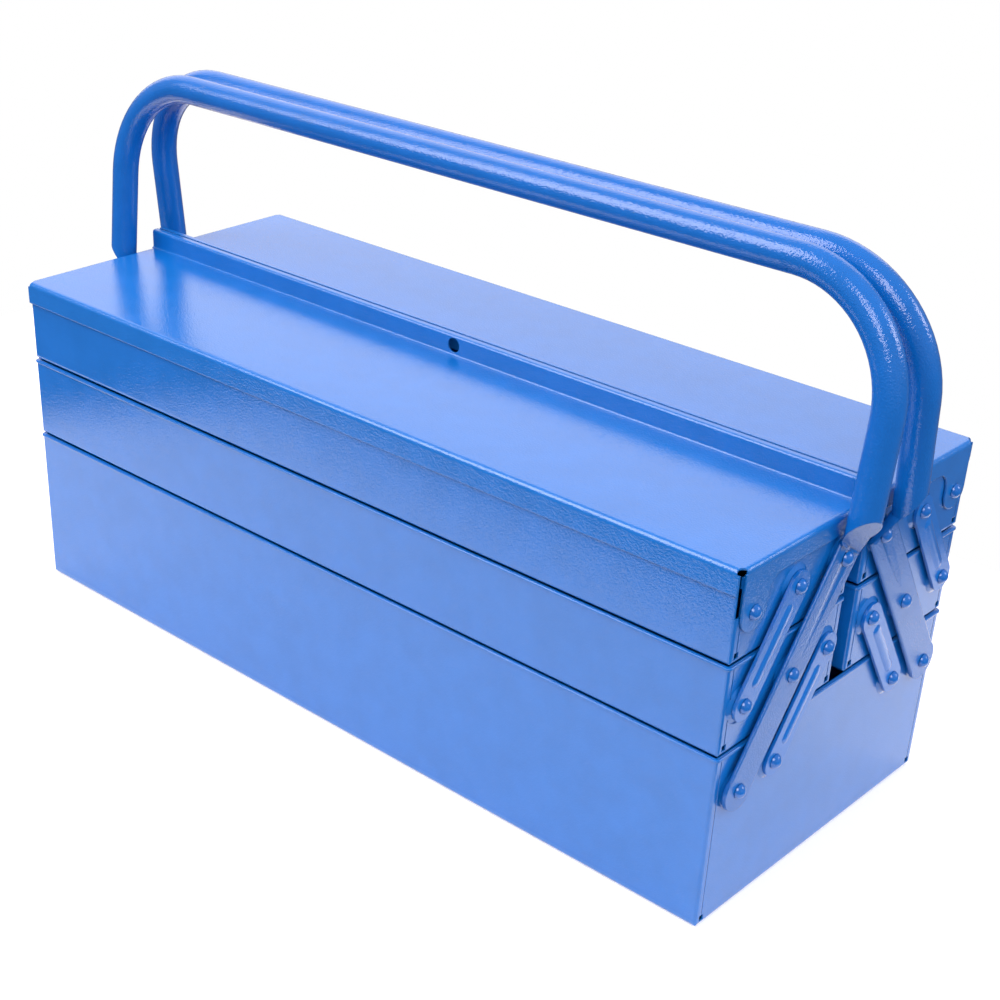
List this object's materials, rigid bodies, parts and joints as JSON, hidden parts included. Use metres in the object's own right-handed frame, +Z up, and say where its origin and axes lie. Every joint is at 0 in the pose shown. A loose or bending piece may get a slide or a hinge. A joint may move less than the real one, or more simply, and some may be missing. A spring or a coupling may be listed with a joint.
{
  "type": "cantilever tool box",
  "caption": "Cantilever tool box of folded sheet steel: stacked trays on parallel links swing apart when the two tube handles are spread, with riveted lids on top.",
  "frame": {"origin": "on the ground under the middle of the base", "axes": "+X along the length, +Y from front to rear, +Z up"},
  "size_m": [0.538, 0.2012, 0.3042],
  "materials": {
    "body_paint": "gloss with a fine orange peel",
    "lid_paint": "gloss with a fine orange peel",
    "handle_paint": "gloss with a fine orange peel",
    "linkage_paint": "gloss with a fine orange peel",
    "rivet_paint": "gloss"
  },
  "bodies": {
    "base": {"base_box": "body_paint", "base_arm_rivets": "rivet_paint", "base_link_rivets": "rivet_paint"},
    "front_handle_body": {"front_handle": "handle_paint"},
    "front_middle_body": {"front_middle_tray": "body_paint", "front_middle_arm_rivets": "rivet_paint", "front_middle_link_rivets": "rivet_paint"},
    "front_top_body": {"front_top_tray": "body_paint", "front_top_arm_rivets": "rivet_paint", "front_top_link_rivets": "rivet_paint", "front_lid_rivets": "rivet_paint"},
    "front_lid_body": {"front_lid": "lid_paint"},
    "front_lower_links": {"front_lower_link_right": "linkage_paint", "front_lower_link_left": "linkage_paint"},
    "front_upper_links": {"front_upper_link_right": "linkage_paint", "front_upper_link_left": "linkage_paint"},
    "rear_handle_body": {"rear_handle": "handle_paint"},
    "rear_middle_body": {"rear_middle_tray": "body_paint", "rear_middle_arm_rivets": "rivet_paint", "rear_middle_link_rivets": "rivet_paint"},
    "rear_top_body": {"rear_top_tray": "body_paint", "rear_top_arm_rivets": "rivet_paint", "rear_top_link_rivets": "rivet_paint", "rear_lid_rivets": "rivet_paint"},
    "rear_lid_body": {"rear_lid": "lid_paint"},
    "rear_lower_links": {"rear_lower_link_right": "linkage_paint", "rear_lower_link_left": "linkage_paint"},
    "rear_upper_links": {"rear_upper_link_right": "linkage_paint", "rear_upper_link_left": "linkage_paint"}
  },
  "joints": [
    {"name": "front_handle_swing", "type": "hinge", "parent": "base", "child": "front_handle_body", "pos_m": [0, -0.0831, 0.0735], "axis": [1, 0, 0], "range_deg": [0, 69]},
    {"name": "front_middle_level", "type": "hinge", "parent": "front_handle_body", "child": "front_middle_body", "pos_m": [0, -0.0501, 0.1215], "axis": [1, 0, 0], "range_deg": [-69, 0]},
    {"name": "front_top_level", "type": "hinge", "parent": "front_handle_body", "child": "front_top_body", "pos_m": [0, -0.0171, 0.1695], "axis": [1, 0, 0], "range_deg": [-69, 0]},
    {"name": "front_lower_link_swing", "type": "hinge", "parent": "base", "child": "front_lower_links", "pos_m": [0, -0.0531, 0.0755], "axis": [1, 0, 0], "range_deg": [0, 69]},
    {"name": "front_upper_link_swing", "type": "hinge", "parent": "front_middle_body", "child": "front_upper_links", "pos_m": [0, -0.0873, 0.121], "axis": [1, 0, 0], "range_deg": [0, 69]},
    {"name": "front_lid_hinge", "type": "hinge", "parent": "front_top_body", "child": "front_lid_body", "pos_m": [0, -0.0871, 0.1682], "axis": [1, 0, 0], "range_deg": [0, 56]},
    {"name": "rear_handle_swing", "type": "hinge", "parent": "base", "child": "rear_handle_body", "pos_m": [0, 0.0831, 0.0735], "axis": [-1, 0, 0], "range_deg": [0, 69]},
    {"name": "rear_middle_level", "type": "hinge", "parent": "rear_handle_body", "child": "rear_middle_body", "pos_m": [0, 0.0501, 0.1215], "axis": [-1, 0, 0], "range_deg": [-69, 0]},
    {"name": "rear_top_level", "type": "hinge", "parent": "rear_handle_body", "child": "rear_top_body", "pos_m": [0, 0.0171, 0.1695], "axis": [-1, 0, 0], "range_deg": [-69, 0]},
    {"name": "rear_lower_link_swing", "type": "hinge", "parent": "base", "child": "rear_lower_links", "pos_m": [0, 0.0531, 0.0755], "axis": [-1, 0, 0], "range_deg": [0, 69]},
    {"name": "rear_upper_link_swing", "type": "hinge", "parent": "rear_middle_body", "child": "rear_upper_links", "pos_m": [0, 0.0873, 0.121], "axis": [-1, 0, 0], "range_deg": [0, 69]},
    {"name": "rear_lid_hinge", "type": "hinge", "parent": "rear_top_body", "child": "rear_lid_body", "pos_m": [0, 0.0871, 0.1682], "axis": [-1, 0, 0], "range_deg": [0, 56]}
  ],
  "couplings": [
    {"joint": "front_middle_level", "follows": "front_handle_swing", "ratio": -1},
    {"joint": "front_top_level", "follows": "front_handle_swing", "ratio": -1},
    {"joint": "front_lower_link_swing", "follows": "front_handle_swing", "ratio": 1},
    {"joint": "front_upper_link_swing", "follows": "front_handle_swing", "ratio": 1},
    {"joint": "rear_middle_level", "follows": "rear_handle_swing", "ratio": -1},
    {"joint": "rear_top_level", "follows": "rear_handle_swing", "ratio": -1},
    {"joint": "rear_lower_link_swing", "follows": "rear_handle_swing", "ratio": 1},
    {"joint": "rear_upper_link_swing", "follows": "rear_handle_swing", "ratio": 1}
  ]
}
